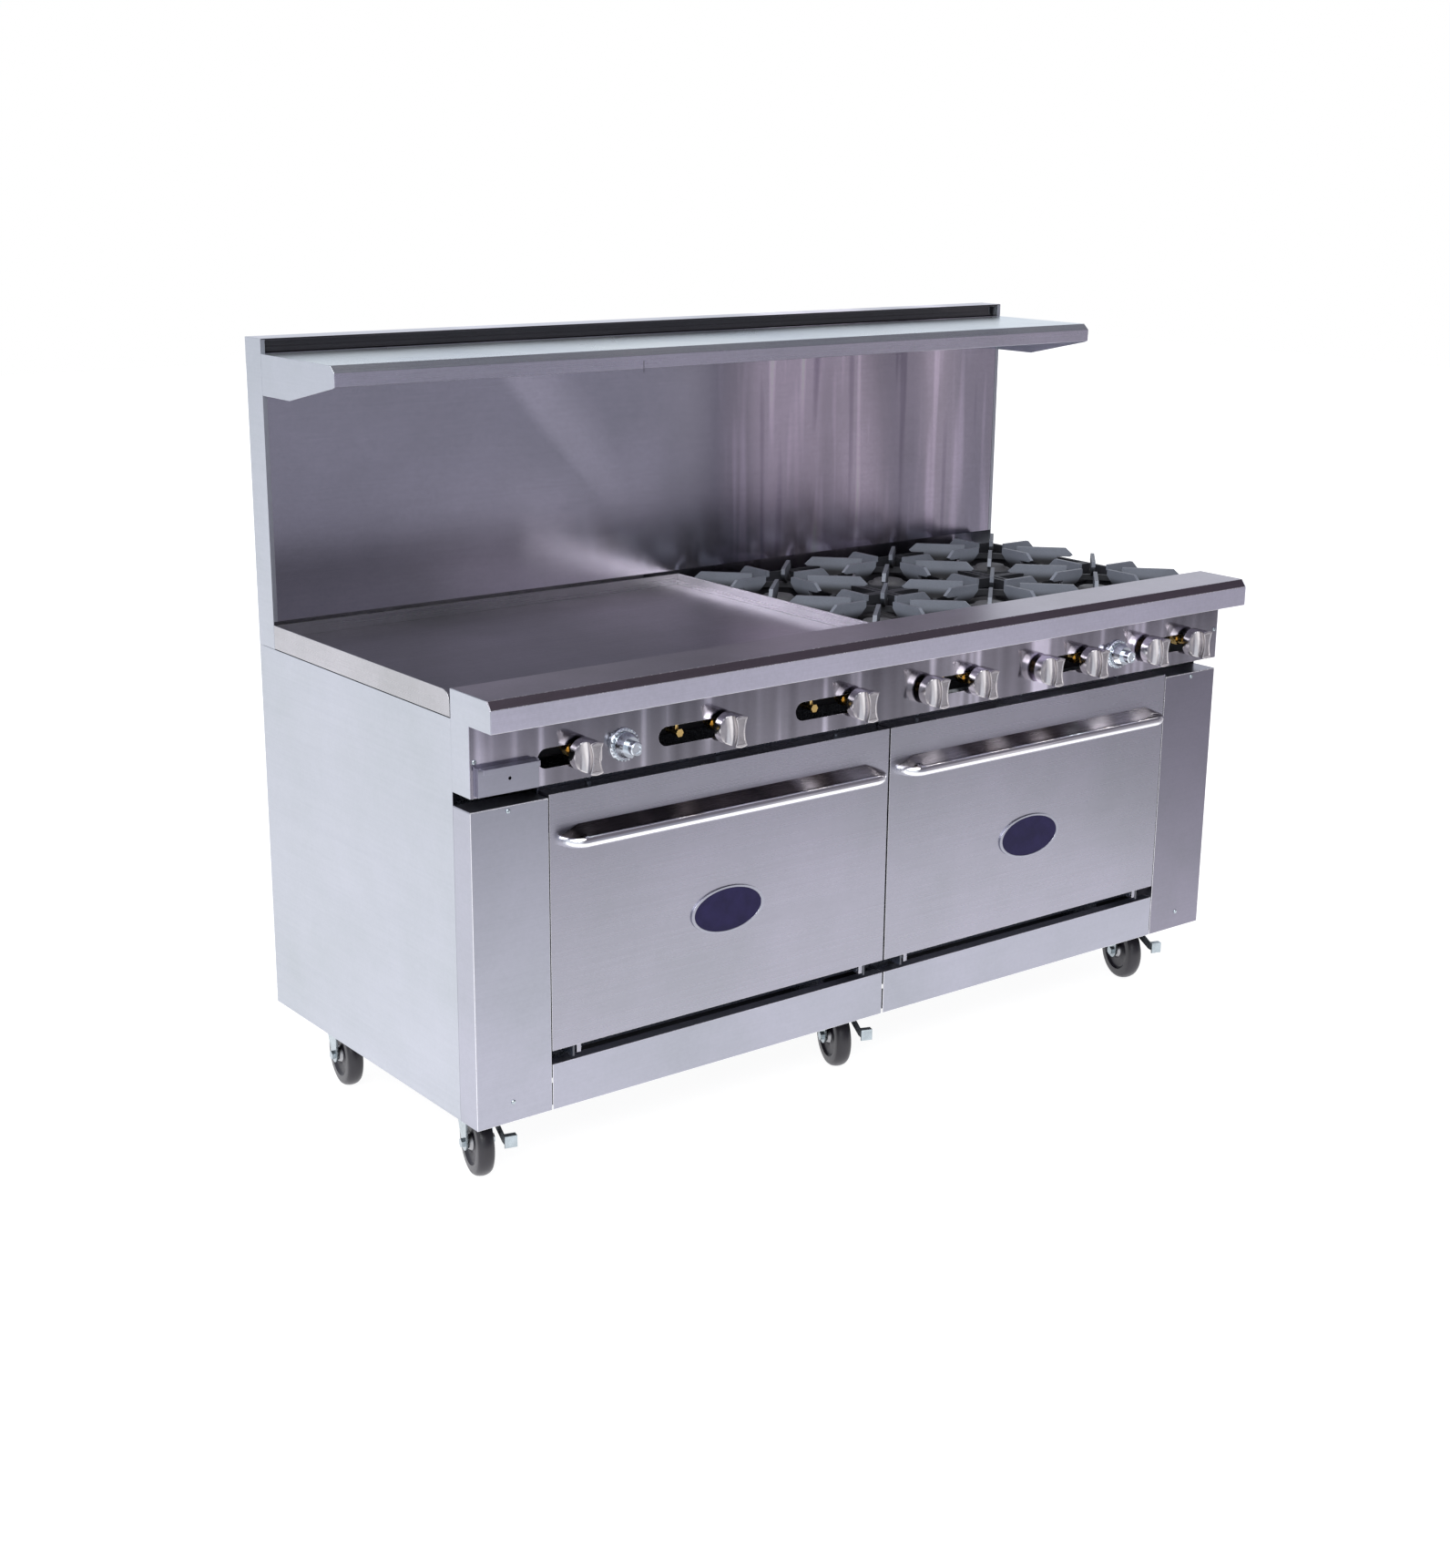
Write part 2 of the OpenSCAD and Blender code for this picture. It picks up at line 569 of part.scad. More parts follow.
// One vane, from its inner end to its sloping tip, with the foot that carries it.
module vane(r_in, r_tip, r_foot) {
    top = grate_z - grate_base;
    rotate([90, 0, 0]) translate([0, 0, -vane_t / 2]) linear_extrude(vane_t) polygon([
        [r_in, top - 12], [r_in, top], [r_tip - 16, top], [r_tip, top - 15], [r_tip - 6, top - 19],
        [r_tip - 34, top - 19], [r_foot, 3], [r_foot - 14, 3], [r_in + 14, top - 26]
    ]);
}
module grate() {
    hx = 148;
    hy = 156.5;
    bar = 9;
    tall = 20;
    union() {
        for (s = [-1, 1]) {
            block([s * (hx - bar / 2) - bar / 2, s * (hx - bar / 2) + bar / 2], [-hy, hy], [0, tall]);
            block([-hx, hx], [s * (hy - bar / 2) - bar / 2, s * (hy - bar / 2) + bar / 2], [0, tall]);
        }
        for (a = [0:90:270]) rotate([0, 0, a]) {
            vane(40, 130, 112);
            translate([100, -vane_t / 2, 0]) cube([(a % 180 == 0 ? hx : hy) - 102, vane_t, 12]);
        }
        for (a = [45:90:315]) rotate([0, 0, a]) {
            vane(58, 182, 150);
            translate([130, -vane_t / 2, 0]) cube([70, vane_t, 12]);
        }
        difference() {
            cylinder(h = 12, r = 118);
            translate([0, 0, -1]) cylinder(h = 14, r = 110);
        }
    }
}
module grate_at(i) color(iron) placed()
    translate([grate_x[(i - 1) % 3], row_y[floor((i - 1) / 3)], grate_base + 0.05]) grate();

// ---- casters ----
// Swivel frame of caster i: X across the wheel, -Y to the trailing side.
module at_caster(i) placed() translate([caster_x[i - 1], caster_y[i - 1], 0]) rotate([0, 0, caster_a[i - 1]])
    children();
module caster_fork(i) color(zinc) at_caster(i) {
    crown_z = base_z - 14;
    union() {
        rod_z(0, 0, crown_z, base_z - 5.3, 27);
        block([-fork_half - 4, fork_half + 4], [-36, 26], [crown_z - 4, crown_z]);
        for (s = [-1, 1]) {
            x0 = s > 0 ? fork_half : -fork_half - 4;
            along_x(x0, x0 + 4, concat(
                [[26, crown_z], [-44, crown_z]],
                arc(-trail, axle_z, 15, 180, 360)
            ));
            rod_x(s > 0 ? fork_half + 3 : -fork_half - 8, s > 0 ? fork_half + 8 : -fork_half - 3, -34, 112, 3);
        }
        rod_x(-fork_half - 1, fork_half + 1, -trail, axle_z, axle_r);
        for (s = [-1, 1]) rod_x(s > 0 ? fork_half + 4 : -fork_half - 10,
            s > 0 ? fork_half + 10 : -fork_half - 4, -trail, axle_z, 9, $fn = 6);
    }
}
module caster_wheel(i) color(black) at_caster(i) translate([0, -trail, axle_z]) rotate([0, 90, 0]) rotate_extrude() {
    r = axle_z;
    w = wheel_w / 2;
    bore = axle_r + run_gap;
    polygon(concat(
        [[bore, -w - 3], [16, -w - 3], [20, -w + 7], [40, -w + 7], [44, -w], [r - 5, -w]],
        arc(r - 6, 0, 6, -60, 60, 6),
        [[r - 5, w], [44, w], [40, w - 7], [20, w - 7], [16, w + 3], [bore, w + 3]]
    ));
}
// Brake lever on the right leg, with a pad turned outward for the foot.
module brake_pedal(i) color(zinc) at_caster(i) union() {
    x0 = fork_half + 4.4;
    difference() {
        along_x(x0, x0 + 3, [[-26, 105], [-26, 119], [-42, 119], [-112, 96], [-112, 84], [-96, 84]]);
        rod_x(x0 - 1, x0 + 4, -34, 112, 3 + run_gap);
    }
    block([x0, x0 + 23], [-112, -109], [78, 100]);
    block([x0, x0 + 23], [-112, -99], [97, 100]);
}

// ---- assembly ----
base_frame();
side_panels();
back_panel();
lower_front_panels();
manifold_panel();
belly_rail();
back_guard();
high_shelf();
griddle_plate();
griddle_splash();
top_frame();
open_burners();
enclosed_burners();
gas_manifold();
gas_valves();
oven_shells();
oven_racks();
thermostat_bezels();
screws();
color(steel) door_piece(-1) door_skin();  // door_skin_left
color(steel) door_piece(-1) door_liner();  // door_liner_left
color(zinc) door_piece(-1) door_handle();  // door_handle_left
color(black) door_piece(-1) door_badge();  // door_badge_left
color(steel) door_piece(1) door_skin();  // door_skin_right
color(steel) door_piece(1) door_liner();  // door_liner_right
color(zinc) door_piece(1) door_handle();  // door_handle_right
color(black) door_piece(1) door_badge();  // door_badge_right
knob(1);  // knob_1
knob(2);  // knob_2
knob(3);  // knob_3
knob(4);  // knob_4
knob(5);  // knob_5
knob(6);  // knob_6
knob(7);  // knob_7
knob(8);  // knob_8
knob(9);  // knob_9
thermostat_stem(-1);  // thermostat_stem_left
thermostat_stem(1);  // thermostat_stem_right
grease_drawer();
grate_at(1);  // grate_1
grate_at(2);  // grate_2
grate_at(3);  // grate_3
grate_at(4);  // grate_4
grate_at(5);  // grate_5
grate_at(6);  // grate_6
caster_fork(1);  // caster_fork_1
caster_fork(2);  // caster_fork_2
caster_fork(3);  // caster_fork_3
caster_fork(4);  // caster_fork_4
caster_fork(5);  // caster_fork_5
caster_fork(6);  // caster_fork_6
caster_wheel(1);  // caster_wheel_1
caster_wheel(2);  // caster_wheel_2
caster_wheel(3);  // caster_wheel_3
caster_wheel(4);  // caster_wheel_4
caster_wheel(5);  // caster_wheel_5
caster_wheel(6);  // caster_wheel_6
brake_pedal(1);  // brake_pedal_1
brake_pedal(2);  // brake_pedal_2
brake_pedal(3);  // brake_pedal_3
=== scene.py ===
"""Looks of the commercial gas range: camera, light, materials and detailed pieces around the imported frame."""
import json
import math

import bmesh
import bpy
from mathutils import Matrix, Vector


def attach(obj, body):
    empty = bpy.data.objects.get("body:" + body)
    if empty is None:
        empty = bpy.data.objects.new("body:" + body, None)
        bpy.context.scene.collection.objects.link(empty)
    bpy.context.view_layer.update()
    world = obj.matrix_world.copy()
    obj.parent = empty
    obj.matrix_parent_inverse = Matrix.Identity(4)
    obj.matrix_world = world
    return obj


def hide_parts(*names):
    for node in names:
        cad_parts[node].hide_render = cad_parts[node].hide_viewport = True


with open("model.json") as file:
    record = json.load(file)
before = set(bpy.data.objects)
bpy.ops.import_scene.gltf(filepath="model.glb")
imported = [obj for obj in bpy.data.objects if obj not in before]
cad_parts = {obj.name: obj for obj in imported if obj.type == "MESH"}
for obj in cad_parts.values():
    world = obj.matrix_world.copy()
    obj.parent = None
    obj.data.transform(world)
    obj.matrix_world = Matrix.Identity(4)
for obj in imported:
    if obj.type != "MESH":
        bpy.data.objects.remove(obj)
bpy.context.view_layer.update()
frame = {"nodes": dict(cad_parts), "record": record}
NODES = frame["nodes"]
SLOT = {row["node"]: row["material_slot"] for row in frame["record"]["subparts"]}
BODY = {n: b for b, names in frame["record"]["behaviour"]["bodies"].items() for n in names}
JOINT_AXIS = {j["name"]: j["axis"] for j in frame["record"]["behaviour"]["joints"]}
FRONT_Y = -0.3405  # the plane of the doors and panels, in the frame's metres

# The camera stands to the front left, above the rail, and looks slightly down.
CAMERA_PLACE = (-2.697, -3.334, 1.7607)
CAMERA_TURN = (-37.62, -16.0, -0.534)  # yaw, pitch and roll in degrees
CAMERA_LENS = 50.82

# Millimetres from the middle, the front plane and the floor, as the folded sheets share them.
HALF = 914.5  # half the width
SHEET = 1.5
INSIDE = HALF - SHEET  # the inner face of the right end
FITTED = INSIDE - 0.1  # how far a sheet between the two ends reaches
SKIRT = 148  # the lower edge of the body
WORK_TOP = 914
GUARD_TOP = 1429
GUARD_DEPTH = (687.5, 749)

WHEEL_SIDES = 64
KNOB_ROWS = 32
KNOB_SINK = 1.1  # millimetres from a knob's rim to its blank field


# ---- camera, floor and light ----
def make_camera():
    data = bpy.data.cameras.new("camera")
    data.sensor_fit = "AUTO"
    data.sensor_width = 36
    data.lens = CAMERA_LENS
    cam = bpy.data.objects.new("camera", data)
    bpy.context.scene.collection.objects.link(cam)
    yaw, pitch, roll = (math.radians(angle) for angle in CAMERA_TURN)
    turn = Matrix.Rotation(yaw, 4, "Z") @ Matrix.Rotation(pitch, 4, "X") @ Matrix.Rotation(roll, 4, "Y")
    # The turn has right, forward and up as its columns; a camera looks along -Z with +Y up.
    cam.matrix_world = Matrix.Translation(CAMERA_PLACE) @ turn @ Matrix.Rotation(math.pi / 2, 4, "X")
    bpy.context.scene.camera = cam


def area_light(name, place, target, size, power):
    data = bpy.data.lights.new(name, "AREA")
    data.shape = "RECTANGLE"
    data.size, data.size_y = size
    data.energy = power
    lamp = bpy.data.objects.new(name, data)
    lamp.location = place
    lamp.rotation_euler = (Vector(target) - Vector(place)).to_track_quat("-Z", "Y").to_euler()
    bpy.context.scene.collection.objects.link(lamp)


def soft_sun(toward, strength, spread):
    data = bpy.data.lights.new("sun", "SUN")
    data.energy = strength
    data.angle = math.radians(spread)
    lamp = bpy.data.objects.new("sun", data)
    lamp.rotation_euler = (-Vector(toward)).to_track_quat("-Z", "Y").to_euler()
    bpy.context.scene.collection.objects.link(lamp)


class Tree:
    """A little help for writing node trees."""

    def __init__(self, tree):
        self.tree = tree
        tree.nodes.clear()

    def add(self, kind, **sockets):
        node = self.tree.nodes.new(kind)
        self.put(node, **sockets)
        return node

    def put(self, node, **sockets):
        for key, value in sockets.items():
            key = key.replace("_", " ")
            self.fill(node.inputs[int(key)] if key.isdigit() else node.inputs[key], value)

    def fill(self, socket, value):
        """Links an output to the socket, or sets the socket's own value."""
        if isinstance(value, bpy.types.NodeSocket):
            self.tree.links.new(value, socket)
        else:
            socket.default_value = value

    def math(self, how, a, b=0.0, clamp=False):
        node = self.tree.nodes.new("ShaderNodeMath")
        node.operation = how
        node.use_clamp = clamp
        for socket, value in zip(node.inputs, (a, b)):
            self.fill(socket, value)
        return node.outputs[0]

    def span(self, value, low, high):
        """0 at low, 1 at high, smooth between them."""
        node = self.tree.nodes.new("ShaderNodeMapRange")
        node.interpolation_type = "SMOOTHSTEP"
        self.tree.links.new(value, node.inputs["Value"])
        node.inputs["From Min"].default_value = low
        node.inputs["From Max"].default_value = high
        return node.outputs[0]

    def ramp(self, value, stops):
        node = self.tree.nodes.new("ShaderNodeValToRGB")
        self.tree.links.new(value, node.inputs[0])
        points = node.color_ramp.elements
        while len(points) > len(stops):
            points.remove(points[-1])
        while len(points) < len(stops):
            points.new(0.5)
        for point, (place, colour) in zip(points, stops):
            point.position = place
            point.color = (*colour, 1) if hasattr(colour, "__len__") else (colour, colour, colour, 1)
        return node.outputs[0]

    def noise(self, scale, stretch=(1, 1, 1), detail=3.0, rough=0.5, where=None, shift=(0, 0, 0)):
        if where is None:
            where = self.tree.nodes.new("ShaderNodeTexCoord").outputs["Object"]
        mapping = self.tree.nodes.new("ShaderNodeMapping")
        mapping.inputs["Scale"].default_value = stretch
        mapping.inputs["Location"].default_value = shift
        self.tree.links.new(where, mapping.inputs["Vector"])
        node = self.tree.nodes.new("ShaderNodeTexNoise")
        node.inputs["Scale"].default_value = scale
        node.inputs["Detail"].default_value = detail
        node.inputs["Roughness"].default_value = rough
        self.tree.links.new(mapping.outputs[0], node.inputs["Vector"])
        return node.outputs[0]

    def mix(self, factor, a, b, how="MIX"):
        node = self.tree.nodes.new("ShaderNodeMix")
        node.data_type = "RGBA"
        node.blend_type = how
        sockets = [s for s in node.inputs if s.type == "RGBA" or (s.name, s.type) == ("Factor", "VALUE")]
        for socket, value in zip(sockets, (factor, a, b)):
            plain_colour = socket.type == "RGBA" and not isinstance(value, bpy.types.NodeSocket)
            self.fill(socket, (*value, 1) if plain_colour else value)
        return [s for s in node.outputs if s.type == "RGBA"][0]

    def times(self, body, colour):
        return self.mix(1.0, body, colour, "MULTIPLY")

    def where(self):
        """The place on the object in metres, as three outputs."""
        spot = self.add("ShaderNodeTexCoord").outputs["Object"]
        return self.add("ShaderNodeSeparateXYZ", Vector=spot).outputs


def make_world():
    world = bpy.data.worlds.new("studio")
    bpy.context.scene.world = world
    world.use_nodes = True
    t = Tree(world.node_tree)
    way = t.add("ShaderNodeTexCoord").outputs["Generated"]
    parts = t.add("ShaderNodeSeparateXYZ", Vector=way).outputs
    # Brightness by direction: white walls behind and to the left, a dim room in front and to the right.
    back = t.math("MULTIPLY", t.span(parts[1], -0.05, 0.5), t.span(parts[2], 0.75, 0.30))
    left = t.span(parts[0], -0.02, -0.45)
    bright = t.math("MAXIMUM", back, left)
    streaks = t.noise(16, (1, 1, 0.02), 3, 0.6, where=way, shift=(0.4, 0, 0))
    lit = t.ramp(streaks, [
        (0.36, (0.16, 0.155, 0.18)), (0.48, (0.33, 0.31, 0.36)), (0.58, (0.62, 0.59, 0.64))])
    dim = t.mix(t.span(parts[0], 0.56, 0.64), (0.30, 0.30, 0.36), lit)
    ceiling = t.span(parts[2], 0.15, 0.5)
    dim = t.mix(ceiling, dim, (0.16, 0.15, 0.18))
    tinted = t.mix(bright, dim, (0.86, 0.90, 0.98))
    # The camera sees plain white; only what the steel mirrors and what lights it is dimmer.
    seen = t.add("ShaderNodeLightPath").outputs["Is Camera Ray"]
    final = t.mix(seen, tinted, (1.0, 1.0, 1.0))
    background = t.add("ShaderNodeBackground", Color=final, Strength=1.0)
    t.add("ShaderNodeOutputWorld", Surface=background.outputs[0])


# ---- materials ----
def new_material(name):
    material = bpy.data.materials.new(name)
    material.use_nodes = True
    return material, Tree(material.node_tree)


def finish_material(t, **sockets):
    shader = t.add("ShaderNodeBsdfPrincipled", **sockets)
    t.add("ShaderNodeOutputMaterial", Surface=shader.outputs[0])
    return shader


def bump(t, height, strength, distance):
    node = t.add("ShaderNodeBump", Height=height)
    node.inputs["Strength"].default_value = strength
    node.inputs["Distance"].default_value = distance
    return node.outputs[0]


def patchy(t, noise, colour, share):
    """The colour made darker and lighter by this share."""
    low = tuple(c * (1 - share) for c in colour)
    high = tuple(min(1, c * (1 + share)) for c in colour)
    return t.ramp(noise, [(0.3, low), (0.7, high)])


def uneven(t, noise, rough, low, high):
    """The roughness between these two multiples of itself."""
    return t.ramp(noise, [(0.3, rough * low), (0.7, min(1, rough * high))])


def brushed(name, colour, rough, cloud=0.10, fine=0.08, aniso=0.55, grain=(0.012, 0.012, 1), painted_light=None):
    """Brushed sheet: grain lines along the small axes of grain, soft clouds, and drawn-out highlights."""
    m, t = new_material(name)
    lines = t.noise(900, grain, 4, 0.65)
    coarse = t.noise(220, grain, 2, 0.5, shift=(3, 1, 7))
    clouds = t.noise(3.2, (1, 1, 1), 5, 0.6, shift=(1, 4, 2))
    specks = t.noise(160, (1, 1, 1), 2, 0.5, shift=(2, 2, 9))
    low = tuple(max(c * (1 - cloud), 0) for c in colour)
    high = tuple(min(c * (1 + cloud) + k * 0.5, 1) for c, k in zip(colour, (0.02, 0.0, 0.03)))
    body = t.ramp(clouds, [(0.33, low), (0.67, high)])
    body = t.times(body, t.ramp(lines, [(0.3, 1 - fine), (0.7, 1.0)]))
    body = t.times(body, t.ramp(specks, [(0.35, 1 - fine * 0.6), (0.65, 1.0)]))
    # Painted light: reflections, glints and brighter areas painted into the base colour, where given.
    if painted_light:
        body = painted_light(t, body)
    lay = t.add("ShaderNodeCombineXYZ", X=0.0, Y=0.25, Z=1.0).outputs[0]
    finish_material(t, Base_Color=body, Metallic=1.0, Roughness=uneven(t, coarse, rough, 0.93, 1.07),
                    Anisotropic=aniso, Tangent=lay, Normal=bump(t, lines, 0.02, 0.0002))
    return m


def guard_painted_reflections(t, body):
    """Painted reflections: upright streaks on the right half of the back guard, and a faint painted beam of
    light left of them.
    """
    x, _, z = t.where()
    wide = t.noise(4.2, (1, 0.1, 0.10), 2, 0.55, shift=(1.7, 0, 0))
    thin = t.noise(19, (1, 0.1, 0.05), 2, 0.6, shift=(5.1, 0, 0))
    # Painted reflections: broad and thin upright streaks, darker and lighter.
    band = t.ramp(wide, [
        (0.36, (0.58, 0.57, 0.62)), (0.50, (0.90, 0.85, 0.88)), (0.60, (1.48, 1.36, 1.40))])
    line = t.ramp(thin, [
        (0.34, (0.60, 0.58, 0.64)), (0.44, (0.98, 0.98, 0.98)), (0.58, (1.0, 1.0, 1.0)),
        (0.66, (1.35, 1.32, 1.34))])
    body = t.mix(t.span(x, 0.02, 0.16), body, t.times(t.times(body, band), line))
    # A painted beam of light slanting across the left part, and painted light low in the middle, both left of
    # the streaks.
    slant = t.math("ADD", t.math("MULTIPLY", x, 0.77), t.math("MULTIPLY", z, 0.635))
    beam = t.math("MULTIPLY", t.span(slant, 0.515, 0.555), t.span(slant, 0.68, 0.57))
    middle = t.math("MULTIPLY", t.span(x, -0.85, -0.35), t.span(x, 0.05, -0.12))
    low_mid = t.math("MULTIPLY", t.span(z, 1.28, 0.94), middle)
    glow = t.math("MAXIMUM", beam, t.math("MULTIPLY", low_mid, 1.3))
    glow = t.math("MULTIPLY", glow, t.span(x, 0.16, 0.0))
    return t.mix(glow, body, t.times(body, (1.38, 1.36, 1.34)))


def griddle_painted_light(t, body):
    """Painted light: the plate is brighter towards its right end."""
    return t.mix(t.span(t.where()[0], -0.62, 0.02), body, t.times(body, (1.85, 1.78, 1.78)))


def panel_painted_glints(t, body):
    """Painted on: upright glints, in place of the knobs that a glossy panel mirrors."""
    thin = t.noise(13, (1, 0.1, 0.05), 2, 0.6, shift=(2.6, 0, 0))
    return t.times(body, t.ramp(thin, [(0.34, 0.60), (0.48, 0.84), (0.55, 1.05), (0.62, 2.3)]))


def pull_painted_reflections(t):
    """Painted on: dark and bright stretches along a pull, in place of the room that it mirrors."""
    long_way = t.noise(3.4, (1, 0.2, 0.2), 3, 0.6, shift=(0.35, 0, 0))
    return t.ramp(long_way, [
        (0.40, (0.06, 0.052, 0.052)), (0.50, (0.17, 0.145, 0.14)), (0.57, (0.60, 0.57, 0.56)),
        (0.64, (0.90, 0.88, 0.88))])


def cast(name, colour, rough, spots=0.25, height=0.35, scale=420, metallic=0.0, top_colour=None, black_below=None):
    """Gritty cast metal, with a given colour on upward faces and, between two given heights, a turn to black
    towards the bottom.
    """
    m, t = new_material(name)
    grit = t.noise(scale, (1, 1, 1), 4, 0.6)
    patches = t.noise(9, (1, 1, 1), 4, 0.6, shift=(2, 0, 5))
    body = patchy(t, patches, colour, spots)
    body = t.mix(0.5, body, t.ramp(grit, [(0.3, 0.7), (0.7, 1.0)]), "MULTIPLY")
    if black_below:
        body = t.mix(t.span(t.where()[2], *black_below), (0.012, 0.012, 0.014), body)
    if top_colour:
        normal = t.add("ShaderNodeNewGeometry").outputs["Normal"]
        up = t.add("ShaderNodeSeparateXYZ", Vector=normal).outputs[2]
        body = t.mix(t.math("MULTIPLY", t.math("SUBTRACT", up, 0.75), 3.0, True), body, top_colour)
    finish_material(t, Base_Color=body, Metallic=metallic, Roughness=uneven(t, grit, rough, 0.85, 1.15),
                    Normal=bump(t, grit, height, 0.0006))
    return m


def plated(name, colour, rough, variation=0.12, scale=60, height=0.04):
    m, t = new_material(name)
    patches = t.noise(scale, (1, 1, 1), 4, 0.6)
    gloss = uneven(t, t.noise(scale * 3, (1, 1, 1), 3, 0.5, shift=(4, 4, 0)), rough, 0.7, 1.3)
    finish_material(t, Base_Color=patchy(t, patches, colour, variation), Metallic=1.0, Roughness=gloss,
                    Normal=bump(t, patches, height, 0.0004))
    return m


def gloss_paint(name, colour, rough=0.2, coat=0.6, shine=0.5):
    m, t = new_material(name)
    depth = patchy(t, t.noise(40, (1, 1, 1), 3, 0.5), colour, 0.2)
    peel = t.noise(260, (1, 1, 1), 2, 0.5)
    finish_material(t, Base_Color=depth, Metallic=0.0, Roughness=uneven(t, peel, rough, 0.85, 1.15),
                    Coat_Weight=coat, Coat_Roughness=0.05, Specular_IOR_Level=shine,
                    Normal=bump(t, peel, 0.03, 0.0004))
    return m


# The top of a pull: chrome with painted reflections in its colour.
def pull_top(name):
    m, t = new_material(name)
    gloss = t.ramp(t.noise(30), [(0.3, 0.08), (0.7, 0.14)])
    finish_material(t, Base_Color=pull_painted_reflections(t), Metallic=1.0, Roughness=gloss)
    return m


MAT = {
    "door": brushed("brushed_door", (0.365, 0.365, 0.41), 0.28, aniso=0.6, fine=0.03, cloud=0.05),
    "front": brushed("brushed_front", (0.40, 0.41, 0.46), 0.30, aniso=0.6, fine=0.05, cloud=0.05),
    # A darker steel for the right side front: painted shade.
    "end": brushed("brushed_end_painted_shade", (0.27, 0.265, 0.31), 0.30, aniso=0.6, fine=0.05, cloud=0.05),
    "panel": brushed("brushed_panel", (0.35, 0.34, 0.38), 0.11, aniso=0.85, fine=0.05, painted_light=panel_painted_glints),
    "rail": brushed("brushed_rail", (0.66, 0.65, 0.75), 0.40, aniso=0.5, cloud=0.05),
    # Darker steels for the rail's top and slope: painted shade.
    "rail_top": brushed("brushed_rail_top_painted_shade", (0.56, 0.53, 0.57), 0.36, aniso=0.5, cloud=0.05),
    "rail_slope": brushed("brushed_rail_slope_painted_shade", (0.24, 0.205, 0.235), 0.36, aniso=0.5, cloud=0.05),
    # A bright steel for rolled edges: a painted highlight.
    "edge": plated("edge_painted_highlight", (0.90, 0.90, 0.92), 0.25, variation=0.05),
    "pull_top": pull_top("pull_top"),
    "side": brushed("satin_side", (0.475, 0.50, 0.535), 0.42, cloud=0.04, fine=0.04, aniso=0.3),
    "guard": brushed("brushed_guard", (0.59, 0.58, 0.64), 0.15, cloud=0.07, aniso=0.9, painted_light=guard_painted_reflections),
    "shelf_face": brushed("brushed_shelf_face_painted_shade", (0.66, 0.65, 0.73), 0.28, aniso=0.5, cloud=0.06),
    "shelf": brushed("brushed_shelf", (0.84, 0.92, 0.98), 0.28, aniso=0.5),
    "griddle": brushed("ground_griddle", (0.34, 0.335, 0.36), 0.30, cloud=0.12, fine=0.12, aniso=0.4,
                       grain=(0.012, 1, 1), painted_light=griddle_painted_light),
    "splash": brushed("brushed_splash", (0.43, 0.43, 0.44), 0.28, aniso=0.5),
    "inner": cast("inner_frame", (0.030, 0.030, 0.036), 0.55, height=0.1, metallic=0.3),
    "iron": cast("grate_iron", (0.155, 0.168, 0.20), 0.45, spots=0.12, height=0.25, top_colour=(0.075, 0.08, 0.095),
                 black_below=(0.884, 0.903)),
    # A near-black iron for the grates' low parts: painted shade.
    "iron_low": cast("grate_iron_painted_shade", (0.022, 0.023, 0.028), 0.50, spots=0.2),
    "burner": cast("burner_iron", (0.07, 0.07, 0.075), 0.55),
    "enamel": gloss_paint("oven_enamel", (0.03, 0.035, 0.05), 0.28),
    "wire": plated("rack_wire", (0.66, 0.67, 0.70), 0.18),
    "brass": plated("valve_brass", (0.78, 0.54, 0.20), 0.26),
    "pipe": cast("gas_pipe", (0.03, 0.03, 0.033), 0.42, height=0.1, scale=200),
    "chrome": plated("handle_chrome", (0.86, 0.86, 0.88), 0.05, variation=0.02, height=0.0),
    "zinc": plated("zinc_plate", (0.40, 0.45, 0.475), 0.30, variation=0.12),
    "dial": plated("dial_chrome", (0.62, 0.66, 0.70), 0.16, variation=0.06, height=0.0),
    "knob": plated("knob_cast", (0.60, 0.575, 0.58), 0.20, variation=0.05, scale=24, height=0.0),
    "knob_face": plated("knob_face_cast", (0.42, 0.40, 0.41), 0.34, variation=0.10, scale=60, height=0.06),
    "rubber": cast("wheel_rubber", (0.020, 0.018, 0.023), 0.34, scale=180, height=0.1),
    "core": cast("wheel_core", (0.014, 0.012, 0.018), 0.35, scale=150, height=0.1),
    "strip": gloss_paint("black_strip", (0.012, 0.011, 0.014), 0.22),
    "field": gloss_paint("badge_field", (0.013, 0.010, 0.044), 0.5, coat=0.0, shine=0.15),
    "hub": plated("hub_steel", (0.36, 0.36, 0.37), 0.35, variation=0.15),
}


# ---- pieces ----
def link(mesh, name, body, slot, *nodes):
    piece = bpy.data.objects.new(name, mesh)
    bpy.context.scene.collection.objects.link(piece)
    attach(piece, body)
    if nodes:
        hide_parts(*nodes)
    return piece


def smooth(mesh, angle=35):
    mesh.shade_smooth()
    mesh.set_sharp_from_angle(angle=math.radians(angle))


def roll_edges(bm, width, segments, angle):
    """Rounds every edge that turns by more than this angle, in degrees."""
    limit = math.radians(angle)
    sharp = [e for e in bm.edges if len(e.link_faces) == 2 and e.calc_face_angle(0) > limit]
    bmesh.ops.bevel(bm, geom=sharp, offset=width, segments=segments, profile=0.5, affect="EDGES",
                    clamp_overlap=True)


def make_mesh(bm, name):
    mesh = bpy.data.meshes.new(name)
    bm.to_mesh(mesh)
    bm.free()
    return mesh


def flatten_shading(piece):
    """Keeps the large faces flat in the shading beside their rolled edges."""
    modifier = piece.modifiers.new("weighted", "WEIGHTED_NORMAL")
    modifier.keep_sharp = True
    modifier.weight = 80


